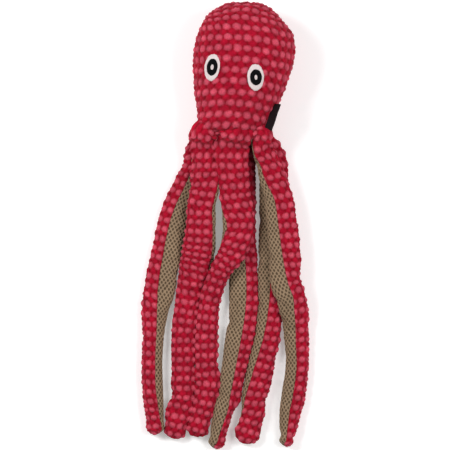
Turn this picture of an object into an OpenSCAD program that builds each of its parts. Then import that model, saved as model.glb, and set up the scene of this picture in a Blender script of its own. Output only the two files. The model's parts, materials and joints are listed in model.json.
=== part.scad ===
// Plush octopus toy lying on its back: stuffed head, embroidered eyes and six long arms.
// +X is the toy's left side, +Y points to the crown, +Z is up and the floor is at z = 0.

/* [Head] */
// Widest size of the head
head_w = 114; // [90:1:140]
// Thickness of the head, front to back
head_t = 94; // [80:1:110]
// Thickness of the plush fabric
plush_t = 2.4; // [1.5:0.1:3]

/* [Arms] */
// Thickness of the mesh fabric on the inner side of an arm
mesh_t = 1.6; // [1:0.1:2.2]
// Thickness of an arm where it lies widest
arm_t = 15; // [12:0.5:16]
// Widest arm, seen from above
arm_w = 35; // [32:1:38]
// Free space between a sewn root and the arm that swings from it
swing_gap = 1; // [0.6:0.1:2]

/* [Eyes] */
// Height of an eye patch
eye_h = 30; // [24:1:34]
// Thickness of each embroidered layer
stitch_t = 0.8; // [0.5:0.1:1.2]

/* [Squeaker] */
// Diameter of the squeaker bulb
squeaker_d = 40; // [30:1:46]
// Height of the squeaker bulb
squeaker_h = 22; // [16:1:28]

/* [Side label] */
// Length of the label along the seam
label_len = 28; // [20:1:34]
// How far the label stands out of the seam
label_out = 8; // [6:0.5:12]

/* [Hidden] */
layer_gap = 0.25;
filling_gap = 0.6;
sides = 14;
head_sides = 28;
path_steps = 2;
floor_z = 0;
crown_y = 251;
neck_y = 111;
seam_z = head_t / 2;
label_t = 1.2;
reed_d = 8;

// Head sections: distance from the crown, sideways centre, half width, half thickness, height of centre
HEAD = [
    [0.6, 24.5, 0.11, 0.10, 46], [6, 21.5, 0.46, 0.45, 46.5], [15, 20.5, 0.70, 0.68, 46.6],
    [26, 21.5, 0.84, 0.82, 46.4], [38, 23, 0.95, 0.93, 45.6], [51, 22.5, 1, 0.995, 45],
    [67, 21.3, 1, 1.01, 45], [83, 19.3, 0.96, 0.98, 44.6], [99, 16.8, 0.895, 0.90, 44],
    [114, 14.4, 0.82, 0.80, 41], [128, 11.4, 0.745, 0.68, 38], [140, 9, 0.70, 0.60, 36]
];

// Arms, from the neck to the tip: x, y, height of the centre, width, turn of the plush side in degrees
// A turn of 90 has the plush straight up, 0 has it to the right and 180 to the left
ARM_NAMES = ["front_left", "front_centre", "front_right", "back_left", "back_centre", "back_right"];
ROUTES = [
    [[-22, 105, 45, 25, 90], [-23.6, 86, 34, 25.6, 90], [-23.5, 63, 28, 28, 96],
     [-22.8, 43, 26, 30, 120], [-25.5, 20, 25, 31, 132], [-26.8, -1, 23, 33, 130],
     [-28.6, -25, 18, 36, 128], [-32.5, -47, 12.5, 36, 126], [-37, -66, 9.4, 30, 103],
     [-40, -80, 8.6, 27.5, 92], [-43, -97, 8.8, 26, 90], [-45.5, -127, 8.8, 24.4, 90],
     [-46.2, -160, 8.8, 22.8, 90], [-46.8, -190, 9, 23, 90], [-50, -207, 8.8, 26, 90],
     [-54.6, -226, 8.4, 23.4, 90]],
    [[11, 105, 50, 36, 90], [8.4, 86, 36, 36.6, 90], [9, 63, 29, 35.4, 90], [11, 46, 27, 32.4, 88],
     [12, 32, 26, 32.8, 84], [14.2, 17, 26, 34, 64], [15, 2, 26, 34.4, 42], [13.6, -13, 26, 32.5, 58],
     [6.5, -33, 25.5, 28, 85], [-3, -48, 23.5, 23, 90], [-10.3, -63, 18, 21, 90],
     [-15, -79, 13, 21.6, 90], [-18.3, -96, 10, 22, 90], [-20.5, -125, 9.4, 23, 90],
     [-20, -155, 9, 23.6, 90], [-18.9, -174, 8.8, 25.2, 90], [-21.4, -192, 8.8, 24, 90],
     [-25.2, -208, 8.8, 22.2, 90], [-29.6, -225, 8.8, 21.8, 90]],
    [[40.6, 105, 43, 21, 60], [43.6, 86, 34, 22, 60], [49.2, 69, 28, 25, 48], [54, 53, 26, 29, 33],
     [60.5, 31, 25, 31.5, 14], [65, 0, 25, 34, 12], [67.6, -31, 25, 35, 6], [69, -63, 24, 34, -9],
     [74.5, -80, 22, 31.5, -12], [77.6, -95, 17, 31.5, -6], [79.8, -111, 12, 29, -2],
     [81, -130, 9, 26.6, 2], [81, -160, 8.8, 25.4, -2], [77, -192, 8.8, 26.4, 0],
     [73.6, -208, 8.8, 23.6, 0], [69.8, -239, 9, 15.5, 0]],
    [[-26, 106, 21, 22, 150], [-29, 86, 11, 28, 170], [-34, 63, 8.4, 30, 190], [-44, 40, 8.2, 31, 192],
     [-53.5, 18, 8, 33, 194], [-60.5, -8, 7.8, 34, 195], [-64.8, -31, 7.8, 34.4, 195],
     [-69.6, -52, 7.8, 34.4, 192], [-73.5, -75, 7.8, 34, 187], [-78, -97, 8.2, 29.6, 174],
     [-80, -127, 9.4, 22.8, 165], [-81, -160, 9.4, 22.8, 166], [-80, -190, 9.4, 22.6, 163],
     [-77.4, -224, 9.4, 19, 138]],
    [[17, 105, 19, 27, 60], [19, 86, 11, 28, 40], [20, 55, 8.4, 29.5, 20], [20, 20, 8.2, 30, 5],
     [20, -15, 8, 30, -4], [20.8, -40, 8, 31, -12], [21.6, -65, 8, 31.4, -14], [21.6, -90, 8, 31.4, -11],
     [20.4, -108, 8, 31, -8], [17.2, -127, 8, 31, -8], [11, -159, 8.2, 27.4, -9],
     [7.8, -177, 8.4, 26, -9], [4.6, -193, 8.6, 25.6, -10], [-1.4, -208, 9, 21.5, -28],
     [-8.6, -241, 9.2, 17, -10]],
    [[43, 105, 20, 20, 20], [49.5, 86, 11, 27, 10], [55, 68, 8.2, 31, 5], [55.6, 40, 8, 32, 0],
     [55.6, 10, 8, 32.6, 0], [54.4, -25, 8, 32, 0], [53.6, -60, 8.2, 30.4, 3], [51.6, -92, 8.6, 27, 6],
     [48, -124, 8.4, 26.6, 14], [43.5, -145, 8.4, 27.6, 20], [38.5, -168, 8.4, 28, 29],
     [34, -191, 8.4, 27.6, 42], [31.6, -208, 8.6, 25.6, 60], [25.8, -231, 8.8, 26.5, 85]]
];
BACK_LEFT = 3;
PIVOT = 1;

PARTS = ["root", "plush", "mesh", "filling"];
function arm_node(i, part) = str("arm_", ARM_NAMES[i], "_", part);

// One closed solid over a list of closed rings with equal numbers of points
module skin(rings) {
    n = len(rings[0]);
    m = len(rings);
    polyhedron(
        points = [for (ring = rings) each ring],
        faces = concat(
            [for (j = [0:m - 2]) for (i = [0:n - 1]) each [
                [j * n + i, (j + 1) * n + i, j * n + (i + 1) % n],
                [j * n + (i + 1) % n, (j + 1) * n + i, (j + 1) * n + (i + 1) % n]
            ]],
            [[for (i = [0:n - 1]) i], [for (i = [n - 1:-1:0]) (m - 1) * n + i]]
        ),
        convexity = 6
    );
}

// Smooth curve through the points of a list, with path_steps rings for each stretch
function spline_at(p, i, u) =
    let (a = p[max(i - 1, 0)], b = p[i], c = p[i + 1], d = p[min(i + 2, len(p) - 1)])
    b + u * ((c - a) / 2 + u * ((a - 2.5 * b + 2 * c - d / 2) + u * (1.5 * (b - c) + (d - a) / 2)));
function smooth(p) = concat(
    [for (i = [0:len(p) - 2]) for (k = [0:path_steps - 1]) spline_at(p, i, k / path_steps)],
    [p[len(p) - 1]]
);

// Head surface, shrunk by inset, as one ring of points from angle start to end
function head_row(k, inset, start, end, count) =
    let (
        s = HEAD[k],
        squeeze = k == 0 ? inset : 0,
        a = s[2] * head_w / 2 - min(inset, 3),
        b = s[3] * head_t / 2 - min(inset, 3)
    )
    [for (i = [0:count]) let (t = start + (end - start) * i / count)
        [s[1] + a * cos(t), crown_y - s[0] - squeeze, max(s[4] + b * sin(t), floor_z + inset)]];

function head_height(x, y) =
    let (
        d = crown_y - y,
        k = max([for (i = [0:len(HEAD) - 2]) if (HEAD[i][0] <= d) i]),
        s = HEAD[k] + (HEAD[k + 1] - HEAD[k]) * (d - HEAD[k][0]) / (HEAD[k + 1][0] - HEAD[k][0]),
        side = (x - s[1]) / (s[2] * head_w / 2)
    )
    s[4] + s[3] * head_t / 2 * sqrt(max(0, 1 - side * side));

// Half of the head's cover, from the right seam (start) to the left seam (end)
module head_panel(start, end) {
    half = head_sides / 2;
    skin([for (k = [0:len(HEAD) - 1]) concat(
        head_row(k, 0, start, end, half),
        [for (i = [half:-1:0]) head_row(k, plush_t, start, end, half)[i]]
    )]);
}

module head_front_panel() {
    color("crimson") head_panel(0.3, 179.7);
}

module head_back_panel() {
    color("crimson") head_panel(180.3, 359.7);
}

module neck_closing_panel() {
    last = HEAD[len(HEAD) - 1];
    trim = 2 * (plush_t + layer_gap);
    color("crimson") translate([last[1], neck_y + plush_t, last[4]]) rotate([90, 0, 0])
        resize([last[2] * head_w - trim, last[3] * head_t - trim, plush_t])
            cylinder(h = plush_t, d = 10, $fn = 32);
}

module head_filling() {
    inset = plush_t + filling_gap;
    color("whitesmoke") difference() {
        skin([for (k = [1:len(HEAD) - 2]) [for (i = [1:head_sides])
            head_row(k, inset, 0, 360, head_sides)[i]]]);
        squeaker_place() cylinder(h = squeaker_h + 2, d = squeaker_d + 2, center = true, $fn = 48);
    }
}

module squeaker_place() {
    translate([21, 170, seam_z - 2]) children();
}

// Half of the bulb's section, with a cut corner at its top and bottom
module squeaker_profile(r, half) {
    cut = 4;
    polygon([[0, -half], [r - cut, -half], [r, cut - half], [r, half - cut], [r - cut, half], [0, half]]);
}

module squeaker_bulb() {
    wall = 1.2;
    color("ivory") squeaker_place() difference() {
        rotate_extrude($fn = 48) difference() {
            squeaker_profile(squeaker_d / 2, squeaker_h / 2);
            squeaker_profile(squeaker_d / 2 - wall, squeaker_h / 2 - wall);
        }
        translate([0, 0, squeaker_h / 2 - 3]) cylinder(h = 4, d = reed_d + 0.2, $fn = 32);
    }
}

module squeaker_reed() {
    color("white") squeaker_place() translate([0, 0, squeaker_h / 2 - 6]) difference() {
        cylinder(h = 6, d = reed_d, $fn = 32);
        translate([0, 0, -1]) cylinder(h = 8, d = 3, $fn = 24);
    }
}

// Oval layer that follows the curve of the head, lifted off it by a distance
module eye_layer(centre, size, tilt, lift) {
    turns = 20;
    reach = [0.35, 0.7, 1];
    function spot(r, i, up) =
        let (
            a = 360 * i / turns,
            ex = r * size[0] / 2 * cos(a),
            ey = r * size[1] / 2 * sin(a),
            x = centre[0] + ex * cos(tilt) - ey * sin(tilt),
            y = centre[1] + ex * sin(tilt) + ey * cos(tilt)
        )
        [x, y, head_height(x, y) + up];
    skin(concat(
        [for (r = reach) [for (i = [0:turns - 1]) spot(r, i, lift)]],
        [for (k = [2:-1:0]) [for (i = [0:turns - 1]) spot(reach[k], i, lift + stitch_t)]]
    ));
}

LEFT_EYE = [-13.8, 177.5];
RIGHT_EYE = [34.9, 166.4];
left_tilt = -8;
right_tilt = 1;
layer_pitch = stitch_t + 0.1;

module eye_left_white() {
    color("white") eye_layer(LEFT_EYE, [0.58, 1.01] * eye_h, left_tilt, 0.4);
}

module eye_left_ring() {
    color("black") eye_layer(LEFT_EYE, [0.41, 0.65] * eye_h, left_tilt, 0.4 + layer_pitch);
}

module eye_left_centre() {
    color("white") eye_layer(LEFT_EYE, [0.14, 0.28] * eye_h, left_tilt, 0.4 + 2 * layer_pitch);
}

module eye_right_white() {
    color("white") eye_layer(RIGHT_EYE, [0.64, 1] * eye_h, right_tilt, 0.4);
}

module eye_right_ring() {
    color("black") eye_layer(RIGHT_EYE + [0.4, 0], [0.46, 0.61] * eye_h, right_tilt, 0.4 + layer_pitch);
}

module eye_right_centre() {
    color("white") eye_layer(RIGHT_EYE, [0.13, 0.23] * eye_h, right_tilt, 0.4 + 2 * layer_pitch);
}

// Folded tape sewn into the side seam by its edge
module side_label() {
    color("#201a1c") translate([52.2, 122.5, seam_z + 9]) rotate([0, 0, -19.5]) rotate([0, -48, 0])
        translate([0, -label_len / 2, -label_t / 2]) cube([label_out, label_len, label_t]);
}

// Thickness of an arm that lies with a width: a narrower arm is rounder
function arm_thick(w) = arm_t + 0.25 * (arm_w - w);

// Rings along an arm: position, width, thickness, turn
function arm_rings(i) =
    let (
        path = smooth([for (k = [PIVOT:len(ROUTES[i]) - 1]) ROUTES[i][k]]),
        last = path[len(path) - 1],
        back = path[len(path) - 1] - path[len(path) - 2],
        ahead = [back[0], back[1], 0] / norm([back[0], back[1]]),
        first = path[0],
        start_r = i == BACK_LEFT ? first[3] / 2 : arm_thick(first[3]) / 2
    )
    concat(
        [for (a = [20, 50]) let (k = sin(a), round_w = i == BACK_LEFT ? k : 1)
            [[first[0], first[1] + start_r * cos(a), first[2]],
             first[3] * round_w, arm_thick(first[3]) * (i == BACK_LEFT ? 1 : k), first[4]]],
        [for (p = path) [[p[0], p[1], p[2]], p[3], arm_thick(p[3]), p[4]]],
        [for (a = [35, 60, 76])
            [[last[0], last[1], last[2]] + ahead * last[3] / 2 * sin(a),
             last[3] * cos(a), arm_thick(last[3]) * (0.35 + 0.65 * cos(a)), last[4]]]
    );

// Points of one ring between two angles, with the layer inset from the outside
function arc(rings, j, inset, start, end, count) =
    let (
        q = rings[j],
        before = rings[max(j - 1, 0)][0],
        after = rings[min(j + 1, len(rings) - 1)][0],
        run = (after - before) / norm(after - before),
        flat = norm([run[0], run[1]]),
        across = [-run[1], run[0], 0] / flat,
        up = cross(run, across),
        a = max(q[1] / 2 - inset, 0.6),
        b = max(q[2] / 2 - inset, 0.6)
    )
    [for (i = [0:count]) let (t = start + (end - start) * i / count)
        let (p = q[0] + across * a * cos(t) + up * b * sin(t)) [p[0], p[1], max(p[2], floor_z + inset)]];

// Strip of fabric over half of an arm, centred on its turn plus offset
module arm_strip(i, offset, thick) {
    rings = arm_rings(i);
    half = sides / 2;
    edge = 1.5;
    skin([for (j = [0:len(rings) - 1]) let (mid = rings[j][3] + offset) concat(
        arc(rings, j, 0, mid - 90 + edge, mid + 90 - edge, half),
        [for (k = [half:-1:0]) arc(rings, j, thick, mid - 90 + edge, mid + 90 - edge, half)[k]]
    )]);
}

module arm_plush(i) {
    color("crimson") arm_strip(i, 0, plush_t);
}

module arm_mesh(i) {
    color("tan") arm_strip(i, 180, mesh_t);
}

module arm_filling(i) {
    rings = arm_rings(i);
    inset = plush_t + filling_gap;
    color("whitesmoke") skin([for (j = [1:len(rings) - 2])
        [for (k = [1:sides]) arc(rings, j, inset, 0, 360, sides)[k]]]);
}

// Short sewn end of an arm that stays with the head
module arm_root(i) {
    top = ROUTES[i][0];
    low = ROUTES[i][PIVOT];
    reach = (i == BACK_LEFT ? low[3] : arm_thick(low[3])) / 2 + swing_gap;
    u_end = 1 - reach / (top[1] - low[1]);
    stations = [for (u = [0, u_end / 2, u_end]) let (p = top + (low - top) * u)
        [[p[0], p[1], p[2]], p[3], arm_thick(p[3]), p[4]]];
    color("crimson") skin([for (j = [0:2]) [for (k = [1:sides])
        arc(stations, j, 0, 0, 360, sides)[k]]]);
}

head_front_panel();
head_back_panel();
neck_closing_panel();
head_filling();
squeaker_bulb();
squeaker_reed();
side_label();
eye_left_white();
eye_left_ring();
eye_left_centre();
eye_right_white();
eye_right_ring();
eye_right_centre();
for (i = [0:len(ROUTES) - 1]) {
    arm_root(i);
    arm_plush(i);
    arm_mesh(i);
    arm_filling(i);
}
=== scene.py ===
import json
import math

import bpy
import numpy as np
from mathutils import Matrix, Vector

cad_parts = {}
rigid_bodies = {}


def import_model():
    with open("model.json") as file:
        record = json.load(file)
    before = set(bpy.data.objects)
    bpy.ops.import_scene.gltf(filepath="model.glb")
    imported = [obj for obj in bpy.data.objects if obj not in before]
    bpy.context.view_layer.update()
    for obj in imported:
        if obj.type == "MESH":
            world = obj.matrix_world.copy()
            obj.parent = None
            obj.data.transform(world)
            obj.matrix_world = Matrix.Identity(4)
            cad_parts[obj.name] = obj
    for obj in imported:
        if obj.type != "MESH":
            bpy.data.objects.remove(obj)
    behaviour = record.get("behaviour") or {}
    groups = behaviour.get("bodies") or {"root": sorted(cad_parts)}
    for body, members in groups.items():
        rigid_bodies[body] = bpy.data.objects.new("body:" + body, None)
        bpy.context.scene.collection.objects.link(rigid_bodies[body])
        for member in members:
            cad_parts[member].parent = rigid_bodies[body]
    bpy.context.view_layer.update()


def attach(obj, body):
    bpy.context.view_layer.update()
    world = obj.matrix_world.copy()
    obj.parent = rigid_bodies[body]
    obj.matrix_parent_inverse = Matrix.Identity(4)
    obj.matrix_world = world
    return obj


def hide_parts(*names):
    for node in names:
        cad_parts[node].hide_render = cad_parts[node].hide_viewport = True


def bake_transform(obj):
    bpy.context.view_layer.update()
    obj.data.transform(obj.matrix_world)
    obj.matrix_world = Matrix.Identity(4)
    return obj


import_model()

# Lengths are written in millimetres, as in the design, and turned into metres by MM.
MM = 0.001

# ---------------------------------------------------------------- the toy's own sizes

# The crown's y, and the head's greatest width and thickness
CROWN_Y = 251
HEAD_W = 114
HEAD_T = 94
# Head sections: distance from the crown, sideways centre, half width, half thickness, height of centre
HEAD = np.array([
    [0.6, 24.5, 0.11, 0.10, 46], [6, 21.5, 0.46, 0.45, 46.5], [15, 20.5, 0.70, 0.68, 46.6],
    [26, 21.5, 0.84, 0.82, 46.4], [38, 23, 0.95, 0.93, 45.6], [51, 22.5, 1, 0.995, 45],
    [67, 21.3, 1, 1.01, 45], [83, 19.3, 0.96, 0.98, 44.6], [99, 16.8, 0.895, 0.90, 44],
    [114, 14.4, 0.82, 0.80, 41], [128, 11.4, 0.745, 0.68, 38], [140, 9, 0.70, 0.60, 36],
])
# The very top of the head, and the rim that is gathered into the neck seam, in the same form
CROWN_POINT = [[0, 24.6, 0.012, 0.012, 46]]
NECK_RIM = [[142, 8.8, 0.665, 0.555, 36], [142.8, 8.6, 0.60, 0.485, 36], [141.4, 8.5, 0.52, 0.40, 36]]
# Middle of the neck opening: x and height
NECK = (9, 36)

# Squeaker inside the head: its middle, its diameter and height, and the diameter and length of its reed
SQUEAKER_AT = (21, 170, 45)
SQUEAKER_D = 40
SQUEAKER_H = 22
SQUEAKER_WALL = 1.2
REED_D = 8
REED_LENGTH = 6
REED_BORE = 3

# An arm of this width is this thick, and a narrower one is thicker
ARM_W = 35
ARM_T = 15
# Row of a route where the arm is hinged
PIVOT = 1
# Arms, from the neck to the tip: x, y, height of the centre, width, turn of the plush side in degrees
ROUTES = {
    "front_left": [
        [-21.4, 105, 45, 25, 90], [-23.6, 86, 34, 25.6, 90], [-23, 63, 28, 29, 98], [-21.8, 43, 26, 32, 124],
        [-25.5, 20, 25, 31, 132], [-26.8, -1, 23, 33, 130], [-28.6, -25, 18, 36, 128],
        [-32.5, -47, 12.5, 36, 126], [-37, -66, 9.4, 30, 103], [-40, -80, 8.6, 27.5, 92],
        [-43, -97, 8.8, 26, 90], [-45.5, -127, 8.8, 24.4, 90], [-46.2, -160, 8.8, 22.8, 90],
        [-46.8, -190, 9, 23, 90], [-50, -207, 8.8, 26, 90], [-54.6, -226, 8.4, 23.4, 90]],
    "front_centre": [
        [11, 105, 50, 36, 90], [8.4, 86, 36, 36.6, 90], [9, 63, 29, 35.4, 90], [11, 46, 27, 32.4, 88],
        [12, 32, 26, 32.8, 84], [14.2, 17, 26, 34, 64], [15, 2, 26, 34.4, 42], [13.6, -13, 26, 32.5, 58],
        [6.5, -33, 25.5, 28, 85], [-3, -48, 23.5, 23, 90], [-10.3, -63, 18, 21, 90],
        [-15, -79, 13, 21.6, 90], [-18.3, -96, 10, 22, 90], [-20.5, -125, 9.4, 23, 90],
        [-20, -155, 9, 23.6, 90], [-18.9, -174, 8.8, 25.2, 90], [-21.4, -192, 8.8, 24, 90],
        [-25.2, -208, 8.8, 22.2, 90], [-29.6, -225, 8.8, 21.8, 90]],
    "front_right": [
        [40.6, 105, 43, 21, 60], [43.6, 86, 34, 22, 60], [49.2, 69, 28, 25, 48], [54, 53, 26, 29, 33],
        [60.5, 31, 25, 31.5, 14], [65, 0, 25, 34, 12], [67.6, -31, 25, 35, 6], [69, -63, 24, 34, -9],
        [74.5, -80, 22, 31.5, -12], [77.6, -95, 17, 31.5, -6], [79.8, -111, 12, 29, -2],
        [81, -130, 9, 26.6, 2], [81, -160, 8.8, 25.4, -2], [77, -192, 8.8, 26.4, 0],
        [73.6, -208, 8.8, 23.6, 0], [69.8, -239, 9, 15.5, 0]],
    "back_left": [
        [-26, 106, 21, 22, 150], [-29, 86, 11, 28, 170], [-34, 63, 8.4, 30, 190], [-44, 40, 8.2, 31, 192],
        [-53.5, 18, 8, 33, 194], [-60.5, -8, 7.8, 34, 195], [-64.8, -31, 7.8, 34.4, 195],
        [-69.6, -52, 7.8, 34.4, 192], [-73.5, -75, 7.8, 34, 187], [-78, -97, 8.2, 29.6, 174],
        [-80, -127, 9.4, 22.8, 165], [-81, -160, 9.4, 22.8, 166], [-80, -190, 9.4, 22.6, 163],
        [-77.4, -224, 9.4, 19, 138]],
    "back_centre": [
        [17, 105, 19, 27, 60], [19, 86, 11, 28, 40], [20, 55, 8.4, 29.5, 20], [20, 20, 8.2, 30, 5],
        [20, -15, 8, 30, -4], [20.8, -40, 8, 31, -12], [21.6, -65, 8, 31.4, -14], [21.6, -90, 8, 31.4, -11],
        [20.4, -108, 8, 31, -8], [17.2, -127, 8, 31, -8], [11, -159, 8.2, 27.4, -9],
        [7.8, -177, 8.4, 26, -9], [4.6, -193, 8.6, 25.6, -10], [-1.4, -208, 9, 21.5, -28],
        [-8.6, -241, 9.2, 17, -10]],
    "back_right": [
        [40, 105, 20, 19, 20], [49.5, 86, 11, 27, 10], [55, 68, 8.2, 31, 5], [55.6, 40, 8, 32, 0],
        [55.6, 10, 8, 32.6, 0], [54.4, -25, 8, 32, 0], [53.6, -60, 8.2, 30.4, 3], [51.6, -92, 8.6, 27, 6],
        [48, -124, 8.4, 26.6, 14], [43.5, -145, 8.4, 27.6, 20], [38.5, -168, 8.4, 28, 29],
        [34, -191, 8.4, 27.6, 42], [31.6, -208, 8.6, 25.6, 60], [25.8, -231, 8.8, 26.5, 85]],
}

# A pink tuft on each arm: how far it lies from the middle of the plush, and its y
FIRST_TUFT = {
    "front_left": (4.8, 100), "front_centre": (2.2, 101), "front_right": (3, 99),
    "back_left": (0.5, 96), "back_centre": (0, 101), "back_right": (-3, 97),
}
# Where an arm's cover is pushed together: y, half length and share of extra fabric. A share below 0 stretches it
BUNCHED = {
    "front_left": [(-36, 21, 0.42)],
    "front_centre": [(52, 55, -0.06), (-45, 14, 0.3)],
    "front_right": [(50, 50, -0.08)],
    "back_left": [(-215, 14, 0.2)],
}
# Arms that widen where they lie against a neighbour: how much, and from which y to which
LYING_CLOSE = {
    "front_left": (0.9, -100, -235), "front_centre": (0.9, -100, -235),
    "back_centre": (0.5, -30, -190), "back_right": (0.5, -30, -190),
}

# Plush: pitch of the tufts across and along the fabric, on the stretched head and on the arms
HEAD_PITCH = (11.1, 12.25)
ARM_PITCH = (9.5, 10.7)
# Half the size of a pink and a red tuft as a share of the pitch, and how high they stand
PINK_HALF = (0.52, 0.44)
RED_HALF = (0.50, 0.44)
PINK_RISE = 2.2
RED_RISE = 1.5
# Net: pitch of its holes across and along, and their depth
NET_PITCH = (4.7, 6.4)
NET_DEPTH = 1.0
# How far a cover's base surface lies inside the design's surface: on the head, on an arm's plush and on its net
HEAD_INSET = 1.3
ARM_PLUSH_INSET = -0.8
ARM_NET_INSET = -0.3
# Nothing lies lower than this
FLOOR = 0.35

# Cloth runs: the step between a coarse cover's rows, how far inside the design's surface it is, and the frames
CLOTH_STEP = 6.0
CLOTH_INSET = 1.6
CLOTH_FRAMES = 14
# Share of extra fabric, pressure, and how far the puckers may go inwards and outwards
HEAD_CLOTH = (0.05, 3.0, 2.0, 1.0)
ARM_CLOTH = (0.07, 2.0, 1.6, 0.8)

# ---------------------------------------------------------------- small mesh and curve helpers


def spline(points, where):
    """Catmull-Rom curve through the rows of points, at the row numbers in where."""
    points = np.asarray(points, float)
    last = len(points) - 1
    i = np.clip(np.floor(where).astype(int), 0, last - 1)
    u = (where - i).reshape((-1,) + (1,) * (points.ndim - 1))
    a, b = points[np.maximum(i - 1, 0)], points[i]
    c, d = points[i + 1], points[np.minimum(i + 2, last)]
    return b + u * ((c - a) / 2 + u * ((a - 2.5 * b + 2 * c - d / 2) + u * (1.5 * (b - c) + (d - a) / 2)))


def even_rows(points, step):
    """Row numbers that walk a curve in equal steps of length."""
    dense = np.linspace(0, len(points) - 1, 60 * len(points))
    walk = spline(points, dense)
    length = np.concatenate([[0], np.cumsum(np.linalg.norm(np.diff(walk, axis=0), axis=1))])
    count = max(2, int(round(length[-1] / step)) + 1)
    return np.interp(np.linspace(0, length[-1], count), length, dense)


def smoothstep(low, high, x):
    t = np.clip((x - low) / (high - low), 0, 1)
    return t * t * (3 - 2 * t)


def noise_field(shape, cell, seed):
    """Smooth random field from -1 to 1 on a grid, with features about cell samples wide."""
    rng = np.random.default_rng(seed)
    coarse = rng.uniform(-1, 1, (int(shape[0] / cell) + 3, int(shape[1] / cell) + 3))
    rows = spline(coarse, np.arange(shape[0]) / cell)
    return spline(rows.T, np.arange(shape[1]) / cell).T


def full_turn(count):
    """Angles of so many points round a closed section."""
    return np.linspace(0, 2 * math.pi, count, endpoint=False)


def grid_normals(p, wrap):
    """Outward normals of a grid of points whose rows run round the piece, counter-clockwise from its start."""
    along = np.gradient(p, axis=0)
    if wrap:
        round_it = (np.roll(p, -1, axis=1) - np.roll(p, 1, axis=1)) / 2
    else:
        round_it = np.gradient(p, axis=1)
    n = np.cross(round_it, along)
    return n / np.maximum(np.linalg.norm(n, axis=2, keepdims=True), 1e-9)


def grid_object(name, p, material, uv=None, wrap=False, flip=False, closed=False, ring=False):
    """Mesh of quads over a grid of points given in millimetres.

    wrap joins the last column to the first, ring the last row to the first, closed adds a face over each end,
    and flip turns the faces round.
    """
    rows, cols = p.shape[:2]
    index = np.arange(rows * cols).reshape(rows, cols)
    if ring:
        index = np.vstack([index, index[:1]])
    right = np.roll(index, -1, axis=1) if wrap else index[:, 1:]
    left = index if wrap else index[:, :-1]
    quads = np.stack([left[:-1], right[:-1], right[1:], left[1:]], axis=-1).reshape(-1, 4)
    if flip:
        quads = quads[:, ::-1]
    faces = quads.tolist()
    if closed:
        ends = [index[0, ::-1].tolist(), index[-1].tolist()]
        faces += [end[::-1] for end in ends] if flip else ends
    mesh = bpy.data.meshes.new(name)
    mesh.from_pydata((p.reshape(-1, 3) * MM).tolist(), [], faces)
    if uv is not None:
        layer = mesh.uv_layers.new(name="fabric")
        layer.data.foreach_set("uv", uv.reshape(-1, 2)[quads.reshape(-1)].astype(np.float32).reshape(-1))
    mesh.polygons.foreach_set("use_smooth", [True] * len(mesh.polygons))
    mesh.materials.append(material)
    obj = bpy.data.objects.new(name, mesh)
    bpy.context.scene.collection.objects.link(obj)
    return obj


def join(name, objects):
    """One object from several, which keep their materials."""
    for o in bpy.context.view_layer.objects:
        o.select_set(o in objects)
    bpy.context.view_layer.objects.active = objects[0]
    bpy.ops.object.join()
    objects[0].name = name
    return objects[0]


# ---------------------------------------------------------------- cloth


def cloth_offsets(p, more, pressure):
    """How far each point of a closed tube of fabric moves when the fabric is filled with air.

    The fabric is cut larger than the space it fills by the share more, so it puckers. Both ends are held.
    """
    rows, cols = p.shape[:2]
    index = np.arange(rows * cols).reshape(rows, cols)
    right = np.roll(index, -1, axis=1)
    quads = np.stack([index[:-1], right[:-1], right[1:], index[1:]], axis=-1).reshape(-1, 4)
    faces = quads.tolist() + [index[0, ::-1].tolist(), index[-1].tolist()]
    mesh = bpy.data.meshes.new("cloth")
    # Simulated at ten times its size, where the solver's tolerances are small beside the folds
    size = 0.01
    mesh.from_pydata((p.reshape(-1, 3) * size).tolist(), [], faces)
    obj = bpy.data.objects.new("cloth", mesh)
    bpy.context.scene.collection.objects.link(obj)
    held = obj.vertex_groups.new(name="held")
    held.add(index[:2].reshape(-1).tolist() + index[-2:].reshape(-1).tolist(), 1, "REPLACE")
    cloth = obj.modifiers.new("cloth", "CLOTH")
    s = cloth.settings
    s.quality = 5
    s.mass = 0.3
    s.tension_stiffness = s.compression_stiffness = 15
    s.shear_stiffness = 8
    s.bending_stiffness = 0.4
    s.vertex_group_mass = "held"
    s.shrink_min = -more
    s.use_pressure = True
    s.uniform_pressure_force = pressure
    s.effector_weights.gravity = 0
    cloth.point_cache.frame_end = CLOTH_FRAMES
    for frame_number in range(1, CLOTH_FRAMES + 1):
        bpy.context.scene.frame_set(frame_number)
    done = obj.evaluated_get(bpy.context.evaluated_depsgraph_get()).data
    moved = np.empty(len(done.vertices) * 3)
    done.vertices.foreach_get("co", moved)
    bpy.context.scene.frame_set(1)
    bpy.data.objects.remove(obj)
    bpy.data.meshes.remove(mesh)
    return moved.reshape(p.shape) / size - p


def puckers(p, more, pressure, inward, outward):
    """Folds of a closed tube of fabric filled with air, as offsets of its points.

    They are what is left of the cloth's movement along the normals without its slow part, so the form stays.
    """
    normals = grid_normals(p, True)
    rise = np.sum(cloth_offsets(p, more, pressure) * normals, axis=2)
    window = np.hanning(11)[1:-1]
    window /= window.sum()
    slow = np.pad(rise, ((4, 4), (0, 0)), mode="edge")
    slow = np.apply_along_axis(np.convolve, 0, slow, window, mode="valid")
    ends = np.minimum(np.arange(len(rise)), np.arange(len(rise))[::-1])
    fold = (rise - slow) * smoothstep(0, 4, ends)[:, None]
    return normals * np.clip(fold, -inward, outward)[:, :, None]


def finer(coarse, rows, cols):
    """A closed coarse grid of offsets read at finer rows and columns, both from 0 to 1."""
    by_row = spline(coarse, rows * (len(coarse) - 1))
    by_row = np.concatenate([by_row, by_row[:, :1]], axis=1)
    return spline(by_row.transpose(1, 0, 2), cols * (by_row.shape[1] - 1)).transpose(1, 0, 2)


# ---------------------------------------------------------------- fabric patterns


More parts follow.
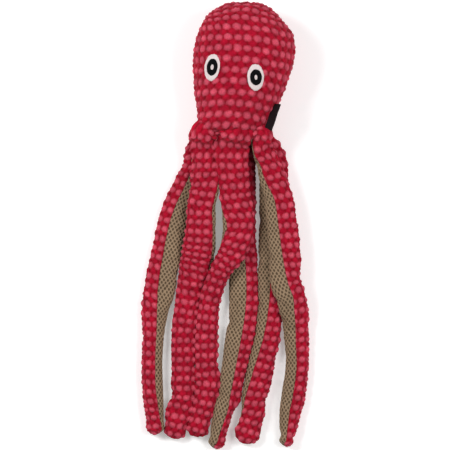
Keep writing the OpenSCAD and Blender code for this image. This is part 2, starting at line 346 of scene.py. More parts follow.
def wavy(u, v, seed):
    """Fabric coordinates with the small wanderings of a hand-sewn cover."""
    return (u + 0.07 * noise_field(u.shape, 11, seed) + 0.03 * noise_field(u.shape, 5, seed + 1),
            v + 0.06 * noise_field(u.shape, 11, seed + 2) + 0.035 * noise_field(u.shape, 5, seed + 3))


def tufts(u, v):
    """Height of the plush at fabric coordinates counted in tufts: pink ones in rows, red ones between them."""
    def dome(x, y, half):
        col, row = np.round(x), np.round(y)
        # Every tuft has its own size and height
        luck = np.sin(col * 12.99 + row * 78.23) * 43758.5
        luck = luck - np.floor(luck)
        q = np.hypot((x - col) / half[0], (y - row) / half[1]) / (0.88 + 0.18 * luck)
        return (0.5 + 0.5 * np.cos(math.pi * np.minimum(q, 1))) ** 0.8 * (0.72 + 0.36 * luck)
    return np.maximum(PINK_RISE * dome(u, v, PINK_HALF), RED_RISE * dome(u + 0.5, v + 0.5, RED_HALF))


def net(u, v):
    """Height of the net at fabric coordinates counted in holes: holes on a diamond lattice."""
    def hole(x, y):
        q = np.hypot(x - np.round(x), y - np.round(y))
        return 1 - smoothstep(0.14, 0.33, q)
    return -NET_DEPTH * np.maximum(hole(u, v), hole(u + 0.5, v + 0.5))


# ---------------------------------------------------------------- materials


class Nodes:
    """Short way to write a node tree: every method makes a node and gives back its output."""

    def __init__(self, name, roughness, sheen=0.0, sheen_tint=(1, 1, 1), specular=0.3):
        self.material = bpy.data.materials.new(name)
        self.material.use_nodes = True
        self.tree = self.material.node_tree
        self.shader = next(n for n in self.tree.nodes if n.type == "BSDF_PRINCIPLED")
        self.shader.inputs["Roughness"].default_value = roughness
        self.shader.inputs["Specular IOR Level"].default_value = specular
        if sheen:
            self.shader.inputs["Sheen Weight"].default_value = sheen
            self.shader.inputs["Sheen Roughness"].default_value = 0.45
            self.shader.inputs["Sheen Tint"].default_value = (*sheen_tint, 1)

    def node(self, kind, **settings):
        made = self.tree.nodes.new(kind)
        for key, value in settings.items():
            setattr(made, key, value)
        return made

    def link(self, value, socket):
        if isinstance(value, bpy.types.NodeSocket):
            self.tree.links.new(value, socket)
        else:
            socket.default_value = value

    def math(self, operation, *values):
        made = self.node("ShaderNodeMath", operation=operation)
        for value, socket in zip(values, made.inputs):
            self.link(value, socket)
        return made.outputs[0]

    def fabric(self):
        return self.node("ShaderNodeUVMap", uv_map="fabric").outputs[0]

    def place(self):
        return self.node("ShaderNodeTexCoord").outputs["Object"]

    def noise(self, vector, scale, detail=2.0, roughness=0.5):
        made = self.node("ShaderNodeTexNoise")
        self.link(vector, made.inputs["Vector"])
        made.inputs["Scale"].default_value = scale
        made.inputs["Detail"].default_value = detail
        made.inputs["Roughness"].default_value = roughness
        return made.outputs[0]

    def ramp(self, value, low, high, out_low=0.0, out_high=1.0, smooth=True):
        made = self.node("ShaderNodeMapRange", interpolation_type="SMOOTHSTEP" if smooth else "LINEAR")
        for v, socket in zip((value, low, high, out_low, out_high), made.inputs):
            self.link(v, socket)
        return made.outputs[0]

    def mix(self, factor, a, b):
        made = self.node("ShaderNodeMix", data_type="RGBA")
        self.link(factor, made.inputs["Factor"])
        for value, socket in ((a, made.inputs[6]), (b, made.inputs[7])):
            self.link(value if isinstance(value, bpy.types.NodeSocket) else (*value, 1), socket)
        return made.outputs[2]

    def lot(self, uv):
        """A value of its own for every tuft of the fabric."""
        nearest = self.node("ShaderNodeVectorMath", operation="FLOOR")
        self.link(self.node_sum(uv, (0.5, 0.5, 0.5)), nearest.inputs[0])
        lot = self.node("ShaderNodeTexWhiteNoise", noise_dimensions="2D")
        self.link(nearest.outputs[0], lot.inputs["Vector"])
        return lot.outputs[0]

    def node_sum(self, vector, shift):
        made = self.node("ShaderNodeVectorMath", operation="ADD")
        self.link(vector, made.inputs[0])
        made.inputs[1].default_value = shift
        return made.outputs[0]

    def tone(self, colour, value, low=0.8, high=1.2):
        """Colour made darker and lighter by a value from 0 to 1."""
        made = self.node("ShaderNodeVectorMath", operation="SCALE")
        self.link(colour, made.inputs[0])
        self.link(self.ramp(value, 0.25, 0.75, low, high, smooth=False), made.inputs["Scale"])
        return made.outputs[0]

    def plain(self, colour):
        made = self.node("ShaderNodeRGB")
        made.outputs[0].default_value = (*colour, 1)
        return made.outputs[0]

    def bump(self, height, strength, distance):
        made = self.node("ShaderNodeBump")
        made.inputs["Strength"].default_value = strength
        made.inputs["Distance"].default_value = distance
        self.link(height, made.inputs["Height"])
        return made.outputs[0]

    def bands(self, uv, direction, scale, distortion=0.0):
        made = self.node("ShaderNodeTexWave", wave_type="BANDS", bands_direction=direction)
        self.link(uv, made.inputs["Vector"])
        made.inputs["Scale"].default_value = scale
        made.inputs["Distortion"].default_value = distortion
        return made.outputs[1]

    def across_and_along(self, uv):
        parts = self.node("ShaderNodeSeparateXYZ")
        self.link(uv, parts.inputs[0])
        return parts.outputs[0], parts.outputs[1]

    def done(self, colour, normal=None):
        self.link(colour, self.shader.inputs["Base Color"])
        if normal is not None:
            self.link(normal, self.shader.inputs["Normal"])
        return self.material


def lattice_spot(n, x, y, half, shift, edge, full=0.72, none=1.12):
    """1 inside the oval spots of a lattice and 0 between them. A noise, edge, breaks up the spots' edges."""
    def part(value, size):
        folded = n.math("SUBTRACT", n.math("FRACT", n.math("ADD", value, 0.5 + shift)), 0.5)
        scaled = n.math("DIVIDE", folded, size)
        return n.math("MULTIPLY", scaled, scaled)
    q = n.math("ADD", part(x, half[0]), part(y, half[1]))
    ragged = n.math("ADD", q, n.math("MULTIPLY", n.math("SUBTRACT", edge, 0.5), 1.5))
    return n.ramp(ragged, full, none, 1.0, 0.0)


def plush_material():
    n = Nodes("plush", 0.95, sheen=0.10, sheen_tint=(1.0, 0.5, 0.55), specular=0.06)
    uv = n.fabric()
    x, y = n.across_and_along(uv)
    fray = n.noise(uv, 3.4, 4.0, 0.65)
    pile = n.noise(uv, 9, 3.0, 0.7)
    fine = n.noise(uv, 30, 2.0, 0.6)
    patch = n.noise(uv, 1.1, 2.0)
    pink = lattice_spot(n, x, y, (0.45, 0.33), 0.0, fray, 0.0, 1.5)
    red = lattice_spot(n, x, y, (0.46, 0.36), 0.5, fray, 0.1, 1.4)
    # Between the tufts the colour is nearly black-red: painted shade in the low gaps between the raised tufts
    red_tufts_over_painted_gap_shade = n.mix(red, (0.22, 0.002, 0.008), (0.40, 0.005, 0.024))
    colour = n.mix(pink, red_tufts_over_painted_gap_shade, (0.62, 0.075, 0.122))
    colour = n.tone(colour, n.lot(uv), 0.91, 1.06)
    colour = n.tone(colour, patch, 0.74, 1.18)
    colour = n.tone(colour, fray, 0.86, 1.14)
    colour = n.tone(colour, pile, 0.72, 1.24)
    colour = n.tone(colour, fine, 0.86, 1.14)
    height = n.math("ADD", pile, n.math("MULTIPLY", fine, 0.6))
    return n.done(colour, n.bump(height, 0.7, 0.0012))


def net_material():
    n = Nodes("net", 0.8, sheen=0.08, sheen_tint=(0.95, 0.9, 0.8), specular=0.2)
    uv = n.fabric()
    x, y = n.across_and_along(uv)
    fine = n.noise(uv, 7, 2.0)
    patch = n.noise(uv, 0.25, 2.0)
    half = (0.29, 0.27)
    still = n.noise(uv, 1.7, 1.0)
    hole = n.math("MAXIMUM", lattice_spot(n, x, y, half, 0.0, still, 0.35, 1.2),
                  lattice_spot(n, x, y, half, 0.5, still, 0.35, 1.2))
    strands = n.bands(uv, "DIAGONAL", 2.2, 1.5)
    thread = n.tone(n.plain((0.280, 0.192, 0.119)), strands, 0.82, 1.12)
    thread = n.tone(n.tone(thread, fine, 0.82, 1.18), patch, 0.9, 1.1)
    # The holes are coloured dark brown: painted shade where the net dips into its holes
    colour = n.mix(hole, thread, (0.085, 0.055, 0.030))
    return n.done(colour, n.bump(n.math("ADD", strands, fine), 0.4, 0.0003))


def thread_material(name, colour, roughness=0.6, sheen=0.1, specular=0.2):
    """Satin stitch: smooth thread with fine strands. The stitches themselves are in the mesh."""
    n = Nodes(name, roughness, sheen=sheen, specular=specular)
    uv = n.fabric()
    fine = n.noise(uv, 3.0, 3.0)
    patch = n.noise(uv, 0.4, 2.0)
    shade = n.tone(n.tone(n.plain(colour), fine, 0.86, 1.12), patch, 0.93, 1.05)
    return n.done(shade, n.bump(fine, 0.35, 0.0002))


def tape_material():
    """Woven tape: fine ribs across and threads along."""
    n = Nodes("label_tape", 0.7, specular=0.15)
    uv = n.fabric()
    weave = n.math("MULTIPLY", n.bands(uv, "X", 0.55), n.bands(uv, "Y", 0.55))
    fine = n.noise(uv, 2.0, 2.0)
    colour = n.tone(n.tone(n.plain((0.008, 0.005, 0.006)), weave, 0.7, 1.6), fine, 0.8, 1.3)
    return n.done(colour, n.bump(weave, 0.6, 0.0003))


def fibre_material(name, colour):
    n = Nodes(name, 0.95, sheen=0.3, specular=0.1)
    place = n.place()
    tangle = n.noise(place, 300, 5.0, 0.7)
    soft = n.noise(place, 25, 2.0)
    shade = n.tone(n.tone(n.plain(colour), tangle, 0.8, 1.1), soft, 0.92, 1.05)
    return n.done(shade, n.bump(tangle, 0.8, 0.0012))


def moulded_material(name, colour):
    n = Nodes(name, 0.38, specular=0.5)
    place = n.place()
    flow = n.noise(place, 60, 3.0)
    fine = n.noise(place, 900, 1.0)
    shade = n.tone(n.plain(colour), flow, 0.95, 1.04)
    return n.done(shade, n.bump(fine, 0.15, 0.0002))


PLUSH = plush_material()
NET = net_material()
EYE_WHITE = thread_material("eye_white_thread", (0.66, 0.575, 0.57))
EYE_BLACK = thread_material("eye_black_thread", (0.004, 0.004, 0.005), 0.8, 0.0, 0.05)
TAPE = tape_material()
FIBRE = fibre_material("filling_fibre", (0.88, 0.87, 0.84))
MOULDED = moulded_material("squeaker_plastic", (0.86, 0.83, 0.74))

# ---------------------------------------------------------------- head


def head_point_rows(step):
    """Sections of the head, every step along its side from the crown to the rim.

    Each is y, the centre's x, half the width, half the thickness and the centre's height.
    """
    rows = np.concatenate([CROWN_POINT, HEAD[1:], NECK_RIM])
    halves = rows[:, 2:4] * (HEAD_W / 2, HEAD_T / 2)
    table = np.column_stack([CROWN_Y - rows[:, 0], rows[:, 1], halves, rows[:, 4]])
    return spline(table, even_rows(table[:, [0, 2, 3]], step))


def head_grid(sections, angles, inset):
    """Points of the head's surface at the sections and angles."""
    y, x, a, b, z = [sections[:, k, None] for k in range(5)]
    a, b = np.maximum(a - inset, 0.3), np.maximum(b - inset, 0.3)
    c, s = np.cos(angles), np.sin(angles)
    return np.stack([x + a * c, y + 0 * c, z + b * s], axis=2)


def level(x, y, sections):
    """The y where the row of tufts through a point crosses the head's middle line. Rows dip at both sides."""
    centre = np.interp(-y, -sections[:, 0], sections[:, 1])
    half = np.interp(-y, -sections[:, 0], sections[:, 2])
    side = (x - centre) / np.maximum(half, 12)
    return y + 0.08 * (x - centre) + 6.5 * np.clip(side, -1, 1) ** 2


class Head:
    """The head's cover: a fine grid of points with their normals, and the distances that its tufts follow."""

    STEP = 1.05
    ROUND = 320
    CLOTH_ROUND = 56
    SEAM_GROOVE = 1.6
    # Where the cover starts to be stretched and is stretched in full, and where the rows run straight over the
    # crown, as distances from the crown
    STRETCHED = (60, 80)
    STRAIGHT = (24, 5)
    # Distance of the first full row of tufts from the crown
    FIRST_ROW = 26.9

    def __init__(self):
        coarse = head_grid(head_point_rows(CLOTH_STEP), full_turn(self.CLOTH_ROUND), CLOTH_INSET)
        folds = puckers(coarse, *HEAD_CLOTH)
        self.sections = head_point_rows(self.STEP)
        # The last sections turn in to the neck seam
        self.outside = self.sections[:np.argmin(self.sections[:, 0])]
        y, z = self.outside[:, 0], self.outside[:, 4] + self.outside[:, 3]
        # Below the widest part the cover is stretched, so its tufts keep their spacing along the toy
        start, full = self.STRETCHED
        slope = 1 - smoothstep(CROWN_Y - start, CROWN_Y - full, y)[:-1]
        steps = np.hypot(np.diff(y), np.diff(z) * slope)
        self.walk = np.concatenate([[0], np.cumsum(steps)])
        share = np.arange(self.ROUND) / self.ROUND
        self.cover = head_grid(self.sections, 2 * math.pi * share[None, :], HEAD_INSET)
        self.cover += finer(folds, np.linspace(0, 1, len(self.cover)), share)
        self.normals = grid_normals(self.cover, True)

    def fabric_row(self, y):
        """Distance along the front of the head from the crown down to y."""
        top = self.outside[0, 0]
        return np.interp(-y, -self.outside[:, 0], self.walk) - 3 * np.maximum(y - top, 0)

    def panel(self, name, start, end, top_u):
        """One half of the cover, between two angles. A column of tufts lies top_u beside its middle line."""
        half = self.ROUND // 2
        first = round(start / math.pi) * half
        turn = np.linspace(start, end, half + 1)
        take = np.arange(first, first + half + 1) % self.ROUND
        p, n = self.cover[:, take], self.normals[:, take]
        middle = half // 2
        gaps = np.linalg.norm(np.diff(p, axis=1), axis=2)
        run = np.concatenate([np.zeros((len(p), 1)), np.cumsum(gaps, axis=1)], axis=1)
        u = run - run[:, middle:middle + 1]
        if first == 0:
            u = -u
        to_seam = np.minimum(run, run[:, -1:] - run)
        x, y = p[:, :, 0], p[:, :, 1]
        v = self.fabric_row(level(x, y, self.outside))
        # Over the crown the rows run straight across, beside the seam
        start, full = self.STRAIGHT
        cap = smoothstep(CROWN_Y - start, CROWN_Y - full, y)
        straight = self.fabric_row(y) * np.abs(np.sin(turn))[None, :]
        v = v + (straight - v) * cap
        u = u + (x - self.sections[:, 1:2] - u) * cap
        lu, lv = wavy((u + top_u) / HEAD_PITCH[0], (v - self.FIRST_ROW) / HEAD_PITCH[1], 13)
        fade = np.clip(to_seam / 3.0, 0, 1)
        rise = tufts(lu, lv) * fade
        rise += (0.38 * noise_field(rise.shape, 2.2, 11) + 0.45 * noise_field(rise.shape, 12, 12)) * fade
        # At the crown, where the panels come to a point, there is no room for a groove
        rise -= self.SEAM_GROOVE * np.exp(-(to_seam / 1.9) ** 2) * smoothstep(2, 14, run[:, -1:])
        p = p + n * rise[:, :, None]
        p[:, :, 2] = np.maximum(p[:, :, 2], FLOOR)
        return grid_object(name, p, PLUSH, np.stack([lu, lv], axis=2))


def head_height(x, y, sections):
    """Height of the front of the head at a point seen from above."""
    centre, a, b, z = [np.interp(-y, -sections[:, 0], sections[:, k]) for k in (1, 2, 3, 4)]
    return z + b * np.sqrt(np.maximum(0.02, 1 - ((x - centre) / a) ** 2))


def make_head():
    head = Head()
    front = head.panel("head_front_cover", 0.0, math.pi, 8.2)
    back = head.panel("head_back_cover", math.pi, 2 * math.pi, 2.0)
    for piece, node in ((front, "head_front_panel"), (back, "head_back_panel")):
        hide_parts(node)
        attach(piece, "head")
    return head


# ---------------------------------------------------------------- arms


def arm_route(name):
    """Rows of x, y, z, half width, half thickness and turn along an arm, from inside the neck to the tip."""
    rows = np.array(ROUTES[name], float)
    thick = ARM_T + 0.25 * (ARM_W - rows[:, 3])
    rows = np.column_stack([rows[:, :3], rows[:, 3] / 2, thick / 2, rows[:, 4]])
    # A front arm is fuller at its sewn end
    if name.startswith("front"):
        rows[:, 3] += 1.6 * smoothstep(78, 104, rows[:, 1])
        rows[0, 4] += 2.2
    # Neighbours lie against each other along part of their length
    if name in LYING_CLOSE:
        more, start, end = LYING_CLOSE[name]
        rows[:, 3] += more * smoothstep(start, start - 20, rows[:, 1]) * smoothstep(end, end + 20, rows[:, 1])
    between = (rows[0] * 0.6 + rows[PIVOT] * 0.4)[None]
    # The end is gathered to enter the neck: y, and shares of its distance from the middle, width and thickness
    gathered = []
    for y, pull, wide, deep in ((112, 0.68, 0.74, 0.60), (109, 0.83, 0.96, 0.92)):
        row = rows[0].copy()
        row[:3] = NECK[0] + (row[0] - NECK[0]) * pull, y, NECK[1] + (row[2] - NECK[1]) * pull
        row[3:5] *= wide, deep
        gathered.append(row)
    return np.concatenate([gathered, rows[:1], between, rows[PIVOT:]])


class Arm:
    """An arm's form: its sections, in any step, and the folds that the cloth run gives its cover."""

    CLOTH_ROUND = 20

    def __init__(self, name, seed):
        self.name = name
        self.seed = seed
        coarse = self.surface(self.sections(CLOTH_STEP, 3), full_turn(self.CLOTH_ROUND), CLOTH_INSET)
        self.folds = puckers(coarse, *ARM_CLOTH)

    def sections(self, step, tip_steps):
        """The arm's route in even steps, and a round tip after it."""
        route = arm_route(self.name)
        rows = spline(route, even_rows(route[:, :3], step))
        last = rows[-1]
        ahead = last[:3] - rows[-3][:3]
        ahead[2] = 0
        ahead /= np.linalg.norm(ahead)
        tip = []
        for angle in np.linspace(0, math.radians(88), tip_steps + 1)[1:]:
            row = last.copy()
            row[:3] += ahead * last[3] * math.sin(angle)
            row[3] *= math.cos(angle)
            # The plush turns up over the tip
            row[5] += (90 - last[5]) * (1 - math.cos(angle)) * 0.6
            row[4] *= math.cos(angle) ** 0.8
            tip.append(row)
        return np.concatenate([rows, tip])

    @staticmethod
    def axes(rows):
        """Unit vectors across and up at each row."""
        # Sections stay nearly upright where an arm runs down to the floor
        run = np.gradient(rows[:, :3], axis=0) * (1, 1, 0.25)
        window = np.ones(5) / 5
        padded = np.pad(run, ((2, 2), (0, 0)), mode="edge")
        run = np.stack([np.convolve(padded[:, k], window, mode="valid") for k in range(3)], axis=1)
        run /= np.linalg.norm(run, axis=1, keepdims=True)
        across = np.stack([-run[:, 1], run[:, 0], 0 * run[:, 0]], axis=1)
        across /= np.linalg.norm(across, axis=1, keepdims=True)
        return across, np.cross(run, across)

    def surface(self, rows, angles, inset):
        """Points round the arm at each row, at angles that are the same for all rows or the row's own."""
        across, up = self.axes(rows)
        a = np.maximum(rows[:, 3:4] - inset, 0.15)
        b = np.maximum(rows[:, 4:5] - inset, 0.15)
        c, s = np.cos(angles), np.sin(angles)
        return rows[:, None, :3] + across[:, None] * (a * c)[:, :, None] + up[:, None] * (b * s)[:, :, None]

    def strip(self, rows, side, inset, samples, reach):
        """Grid over the plush (side 0) or the net (side 180), which reaches so many degrees both ways.

        With it come the distance across from its middle and along the fabric, and the strip's width.
        """
        middle = np.radians(rows[:, 5:6] + side)
        reach = math.radians(reach)
        turn = middle + np.linspace(-reach, reach, 8 * samples)[None, :]
        dense = self.surface(rows, turn, inset)
        gaps = np.linalg.norm(np.diff(dense, axis=1), axis=2)
        run = np.concatenate([np.zeros((len(dense), 1)), np.cumsum(gaps, axis=1)], axis=1)
        width = run[:, -1:]
        wanted = np.linspace(0, 1, samples)
        angle = np.stack([np.interp(wanted * w, r, t) for w, r, t in zip(width[:, 0], run, turn)])
        p = self.surface(rows, angle, inset) + self.folds_at(angle / (2 * math.pi) % 1)
        u = (wanted[None, :] - 0.5) * width
        v = self.fabric_row(rows)[:, None] + 0 * u
        return p, u, v, width

    def fabric_row(self, rows):
        """Distance of each row along the fabric. Slopes stretch it, and bunched stretches hold more of it."""
        steps = np.linalg.norm(np.diff(rows[:, :2], axis=0), axis=1)
        for y, reach, more in BUNCHED.get(self.name, ()):
            steps *= 1 + more * np.exp(-((rows[1:, 1] - y) / reach) ** 2)
        return np.concatenate([[0], np.cumsum(steps)])

    def folds_at(self, share):
        """The folds' offsets at the rows' shares of the way round."""
        by_row = spline(self.folds, np.linspace(0, len(self.folds) - 1, len(share)))
        cols = by_row.shape[1]
        x = share * cols
        i = np.floor(x).astype(int)
        f = (x - i)[:, :, None]
        f = f * f * (3 - 2 * f)
        r = np.arange(len(by_row))[:, None]
        return by_row[r, i % cols] * (1 - f) + by_row[r, (i + 1) % cols] * f


def seam_roll(u, width, depth, reach):
    """How far a strip rolls in at its seams, and each point's distance from the nearer seam."""
    to_seam = np.minimum(u + width / 2, width / 2 - u)
    return depth * np.exp(-(to_seam / reach) ** 2), to_seam


def arm_plush(arm):
    rows = arm.sections(1.0, 16)
    p, u, v, width = arm.strip(rows, 0, ARM_PLUSH_INSET, 58, 93)
    n = grid_normals(p, False)
    aside, first = FIRST_TUFT[arm.name]
    v = v - np.interp(-first, -rows[:, 1], v[:, 0])
    lu, lv = wavy((u - aside) / ARM_PITCH[0], v / ARM_PITCH[1], arm.seed + 4)
    roll, to_seam = seam_roll(u, width, 0.9, 1.2)
    # The relief fades out at the point of the tip
    small = smoothstep(0.0, 3.0, rows[:, 3:4])
    rise = tufts(lu, lv) * np.clip(to_seam / 2.4, 0, 1) * small
    lumps = 0.36 * noise_field(rise.shape, 2.2, arm.seed) + 0.45 * noise_field(rise.shape, 10, arm.seed + 1)
    rise += lumps * small
    roll += 1.5 * smoothstep(0, 7, to_seam)
    p = p + n * (rise - roll * small)[:, :, None]
    p[:, :, 2] = np.maximum(p[:, :, 2], FLOOR)
    return grid_object(f"arm_{arm.name}_plush_cover", p, PLUSH, np.stack([lu, lv], axis=2))


def arm_net(arm):
    rows = arm.sections(0.68, 20)
    p, u, v, width = arm.strip(rows, 180, ARM_NET_INSET, 78, 89)
    n = grid_normals(p, False)
    lu, lv = u / NET_PITCH[0], v / NET_PITCH[1]
    roll, to_seam = seam_roll(u, width, 1.2, 1.0)
    small = smoothstep(0.0, 3.0, rows[:, 3:4])
    rise = net(lu, lv) * np.clip(to_seam / 2.0, 0, 1) * small
    rise += 0.25 * noise_field(rise.shape, 18, arm.seed + 2) * small
    p = p + n * (rise - roll * small)[:, :, None]
    p[:, :, 2] = np.maximum(p[:, :, 2], FLOOR)
    return grid_object(f"arm_{arm.name}_net_cover", p, NET, np.stack([lu, lv], axis=2))


def arm_stuffing(arm):
    """Lumpy filling inside an arm's cover."""
    p = arm.surface(arm.sections(3.0, 4)[3:], full_turn(28), 5.0)
    p = p + grid_normals(p, True) * 0.5 * noise_field(p.shape[:2], 3, arm.seed + 3)[:, :, None]
    return grid_object(f"arm_{arm.name}_stuffing", p, FIBRE, wrap=True, closed=True)


def make_arm(name, seed):
    arm = Arm(name, seed)
    body = f"arm_{name}"
    for piece, nodes, slot, fill in (
        (arm_plush(arm), [f"{body}_plush", f"{body}_root"], "plush", 0.6),
        (arm_net(arm), [f"{body}_mesh"], "net", 0.6),
        (arm_stuffing(arm), [f"{body}_filling"], "filling", 0.6),
    ):
        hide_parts(*nodes)
        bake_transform(piece)


# ---------------------------------------------------------------- eyes and label

LEFT_EYE = (-13.8, 177.5)
RIGHT_EYE = (34.9, 166.4)
# Height of an eye, which the sizes of its layers are shares of, and the length of a stitch
EYE_H = 30
STITCH = 1.1


def eye_layer(name, node, head, centre, size, tilt, inner, lift, rise, material, egg=0.0):
    """Oval band of satin stitch on the head's front.

    inner is the share of the size where the band starts, lift how high it lies over the head's surface, rise
    how thick it is, and egg how much narrower its lower end is.
    """
    angle = full_turn(300)[None, :]
    share = np.linspace(inner, 1, 26)[:, None]
    squeeze = 1 - egg * (0.5 - 0.5 * np.sin(angle))
    uneven = 1 + (0.012 * np.sin(7 * angle + size[0]) + 0.010 * np.sin(17 * angle)) * share
    ex = share * size[0] / 2 * np.cos(angle) * squeeze * uneven
    ey = share * size[1] / 2 * np.sin(angle) * uneven
    t = math.radians(tilt)
    x = centre[0] + ex * math.cos(t) - ey * math.sin(t)
    y = centre[1] + ex * math.sin(t) + ey * math.cos(t)
    across = (share - inner) / (1 - inner)
    # The band is round across: it rises from its outer edge and, on a ring, from its inner edge too
    outer = np.clip((1 - across) * 5, 0, 1)
    bulge = np.sqrt(1 - (1 - outer) ** 2)
    if inner > 0.02:
        into = np.clip(across * 5, 0, 1)
        bulge = bulge * np.sqrt(1 - (1 - into) ** 2)
    girth = math.pi * (size[0] + size[1]) / 2
    stitches = max(8, round(girth / STITCH))
    thread = 0.10 * np.cos(angle * stitches + 0.9 * np.sin(7 * share * 3)) * bulge
    z = head_height(x, y, head.outside) + lift + rise * bulge + thread
    p = np.stack([x, y, z], axis=2)
    uv = np.stack([share * size[0] / 2 + 0 * angle, angle * size[1] / 2 + 0 * share], axis=2)
    piece = grid_object(name, p, material, uv, wrap=True)
    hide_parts(node)
    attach(piece, "head")


def make_eyes(head):
    # Side, centre, tilt in degrees, sizes of the three layers, how far the ring sits off the centre, and egg
    for side, centre, tilt, white, ring, dot, shift, egg in (
        ("left", LEFT_EYE, -8, (0.59, 1.01), (0.41, 0.65), (0.12, 0.22), (0, 0.4), 0.06),
        ("right", RIGHT_EYE, 1, (0.65, 1.0), (0.45, 0.61), (0.11, 0.20), (0.4, 0.1), 0.08),
    ):
        middle = (centre[0] + shift[0], centre[1] + shift[1])
        name = f"eye_{side}"
        for part, node, place, size, inner, lift, rise, material, slot, shape in (
            ("white_patch", "white", centre, white, 0.3, 0.4, 1.3, EYE_WHITE, "eye_white", egg),
            ("black_ring", "ring", middle, ring, 0.24, 1.3, 1.3, EYE_BLACK, "eye_black", 0.0),
            ("white_centre", "centre", middle, dot, 0.01, 1.5, 1.2, EYE_WHITE, "eye_white", 0.0),
        ):
            eye_layer(f"{name}_{part}", f"{name}_{node}", head, place, (size[0] * EYE_H, size[1] * EYE_H),
                      tilt, inner, lift, rise, material, shape)


# Middle of the label, on the side seam
LABEL_AT = (52.4, 123.2, 56)


def make_label():
    """Blank tape folded in half, its fold standing out of the side seam."""
    long = 29
    out = 8.6
    sewn_in = 3
    gap = 1.1
    bend = gap / 2
    # Across the fold: up one leg, round the fold, down the other
    legs = [(s, bend) for s in np.linspace(-sewn_in, out - bend, 16)]
    round_fold = np.linspace(0.3, math.pi - 0.3, 7)
    fold = [(out - bend + bend * math.sin(a), bend * math.cos(a)) for a in round_fold]
    section = np.array(legs + fold + [(s, -h) for s, h in reversed(legs)])
    rows = np.linspace(-long / 2, long / 2, 57)
    wave = 0.25 * np.sin(rows / 6.0) + 0.1 * np.sin(rows / 2.3)
    x = section[None, :, 0] + 0 * rows[:, None]
    z = section[None, :, 1] + wave[:, None] * np.clip(section[None, :, 0] / out, 0, 1)
    # The tape flares towards its fold
    y = rows[:, None] * (1 + 0.10 * np.clip(x / out, 0, 1))
    p = np.stack([x, y, z], axis=2)
    lift, turn = math.radians(48), math.radians(-19.5)
    tip = np.array([[math.cos(lift), 0, -math.sin(lift)], [0, 1, 0], [math.sin(lift), 0, math.cos(lift)]])
    spin = np.array([[math.cos(turn), -math.sin(turn), 0], [math.sin(turn), math.cos(turn), 0], [0, 0, 1]])
    p = p @ (spin @ tip).T + LABEL_AT
    piece = grid_object("side_label_tape", p, TAPE, np.stack([y, x + 10 * np.sign(z)], axis=2))
    solid = piece.modifiers.new("thickness", "SOLIDIFY")
    solid.thickness = 0.4 * MM
    solid.offset = 0
    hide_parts("side_label")
    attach(piece, "head")


def make_neck_disc():
    """Plush disc that closes the head between the arms."""
    _, centre_x, wide, deep, centre_z = HEAD[-1]
    inside, seam_y, bulge = 4, 111.5, 6.5
    share = np.linspace(0.01, 1, 26)[:, None]
    angle = full_turn(120)[None, :]
    x = centre_x + share * (wide * HEAD_W / 2 - inside) * np.cos(angle)
    z = centre_z + share * (deep * HEAD_T / 2 - inside) * np.sin(angle)
    lu, lv = x / HEAD_PITCH[0], z / HEAD_PITCH[1]
    y = seam_y - bulge * (1 - share ** 4) - tufts(lu, lv) * np.clip((1 - share) * 12, 0, 1)
    p = np.stack([x, y, z], axis=2)
    piece = grid_object("neck_closing_cover", p, PLUSH, np.stack([lu, lv], axis=2), wrap=True, flip=True)
    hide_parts("neck_closing_panel")
    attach(piece, "head")


def make_head_stuffing():
    """Lumpy filling with a hollow where the squeaker sits."""
    # It stays well below the crown, where the cover comes to a point
    p = head_grid(head_point_rows(4.0)[3:-6], full_turn(72), 6)
    p[:, :, 1] -= 6 * smoothstep(CROWN_Y - 40, CROWN_Y - 5, p[:, :, 1])
    p = p + grid_normals(p, True) * 1.1 * noise_field(p.shape[:2], 2.6, 61)[:, :, None]
    outer = grid_object("head_stuffing", p, FIBRE, wrap=True, closed=True)
    angle = full_turn(64)[None, :]
    lean = np.linspace(-88, 88, 31)[:, None] * math.pi / 180
    size = 1 + 0.03 * (1 + noise_field((31, 64), 4, 62))
    room = 2
    radius, height = SQUEAKER_D / 2 + room, SQUEAKER_H / 2 + room
    # Its sides are straight, so it clears the bulb all round
    x = SQUEAKER_AT[0] + radius * size * np.cos(angle) * np.cos(lean) ** 0.3
    y = SQUEAKER_AT[1] + radius * size * np.sin(angle) * np.cos(lean) ** 0.3
    z = SQUEAKER_AT[2] + height * size * np.sign(lean) * np.abs(np.sin(lean)) ** 0.3
    hollow = np.stack([x, y, z], axis=2)
    hollow = grid_object("squeaker_hollow", hollow, FIBRE, wrap=True, flip=True, closed=True)
    piece = join("head_stuffing", [outer, hollow])
    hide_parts("head_filling")
    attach(piece, "head")


def turned(name, node, profile):
    """Moulded part: a profile of radius and height turned round the squeaker's middle, slightly uneven."""
    turns = 96
    angle = full_turn(turns)[None, :]
    rows = np.array(profile, float)
    where = even_rows(rows, 0.6)
    rows = np.stack([np.interp(where, np.arange(len(rows)), rows[:, k]) for k in (0, 1)], axis=1)
    r = rows[:, :1] * (1 + 0.004 * np.cos(2 * angle)) + 0.03 * noise_field((len(rows), turns), 6, len(rows))
    r = np.maximum(r, 0.05)
    p = np.stack([r * np.cos(angle), r * np.sin(angle), rows[:, 1:] + 0 * angle], axis=2) + SQUEAKER_AT
    # The profile's last point is its first
    piece = grid_object(name, p[:-1], MOULDED, wrap=True, ring=True)
    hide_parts(node)
    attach(piece, "head")


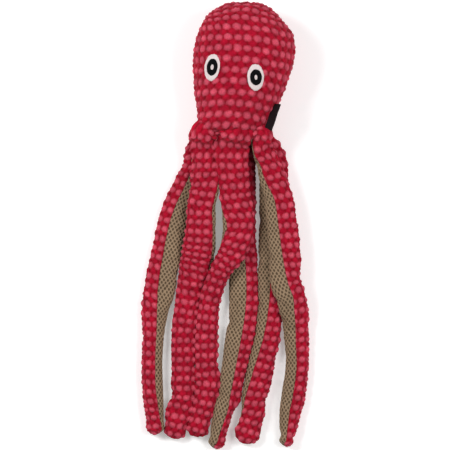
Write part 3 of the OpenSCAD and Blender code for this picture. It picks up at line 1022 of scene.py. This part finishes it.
def make_squeaker():
    r, h, wall = SQUEAKER_D / 2, SQUEAKER_H / 2, SQUEAKER_WALL
    plug = REED_D / 2
    mouth = plug + 0.1
    # Rounded edges: outside from r - 5 to h - 5, inside from r - wall - 4 to h - wall - 4
    turned("squeaker_bulb_moulding", "squeaker_bulb", [
        (mouth, h), (mouth, h - wall), (r - wall - 4, h - wall), (r - wall, h - wall - 4),
        (r - wall, wall + 4 - h), (r - wall - 4, wall - h), (0.1, wall - h), (0.1, -h),
        (r - 5, -h), (r - 3.4, 0.4 - h), (r - 0.4, 3.4 - h), (r, 5 - h),
        (r, h - 5), (r - 0.4, h - 3.4), (r - 3.4, h - 0.4), (r - 5, h), (mouth, h)])
    turned("squeaker_reed_moulding", "squeaker_reed", [
        (plug, h - REED_LENGTH), (plug, h - 0.4), (plug - 0.4, h), (REED_BORE / 2, h),
        (REED_BORE / 2, h - REED_LENGTH), (plug, h - REED_LENGTH)])


# ---------------------------------------------------------------- stage


def make_stage():
    n = Nodes("floor", 0.9, specular=0.1)
    n.done(n.tone(n.plain((0.9, 0.9, 0.9)), n.noise(n.place(), 3, 2.0), 0.99, 1.01))
    # A white sheet lit from behind, so shadows on it stay pale
    n.shader.inputs["Emission Color"].default_value = (1, 1, 1, 1)
    n.shader.inputs["Emission Strength"].default_value = 0.25
    mesh = bpy.data.meshes.new("floor")
    reach = 6
    corners = [(-reach, -reach, 0), (reach, -reach, 0), (reach, reach, 0), (-reach, reach, 0)]
    mesh.from_pydata(corners, [], [(0, 1, 2, 3)])
    mesh.materials.append(n.material)
    floor = bpy.data.objects.new("floor", mesh)
    bpy.context.scene.collection.objects.link(floor)


def area_light(name, place, size, power):
    """Square light aimed at the middle of the toy. Its place and size are in metres."""
    data = bpy.data.lights.new(name, "AREA")
    data.size = size
    data.energy = power
    obj = bpy.data.objects.new(name, data)
    obj.location = place
    obj.rotation_euler = (Vector((0, 0, 0.03)) - Vector(place)).to_track_quat("-Z", "Y").to_euler()
    bpy.context.scene.collection.objects.link(obj)


def make_lights():
    world = bpy.data.worlds.new("studio")
    world.use_nodes = True
    background = world.node_tree.nodes["Background"]
    background.inputs["Color"].default_value = (1, 1, 1, 1)
    background.inputs["Strength"].default_value = 0.30
    bpy.context.scene.world = world
    area_light("key", (-0.95, 0.45, 1.3), 0.7, 19)
    area_light("fill", (0.95, 0.1, 1.3), 0.9, 15)
    bpy.context.scene.view_settings.view_transform = "Standard"


def make_camera():
    """Straight above the toy, without perspective, and framed a little wider than the toy is long."""
    data = bpy.data.cameras.new("camera")
    data.type = "ORTHO"
    data.ortho_scale = 504 * MM
    camera = bpy.data.objects.new("camera", data)
    camera.location = (0.6 * MM, 1.1 * MM, 2000 * MM)
    bpy.context.scene.collection.objects.link(camera)
    bpy.context.scene.camera = camera


# ---------------------------------------------------------------- the scene

make_camera()
make_stage()
make_lights()
toy_head = make_head()
for number, arm_name in enumerate(ROUTES):
    make_arm(arm_name, 20 + 10 * number)
make_eyes(toy_head)
make_label()
make_neck_disc()
make_head_stuffing()
make_squeaker()
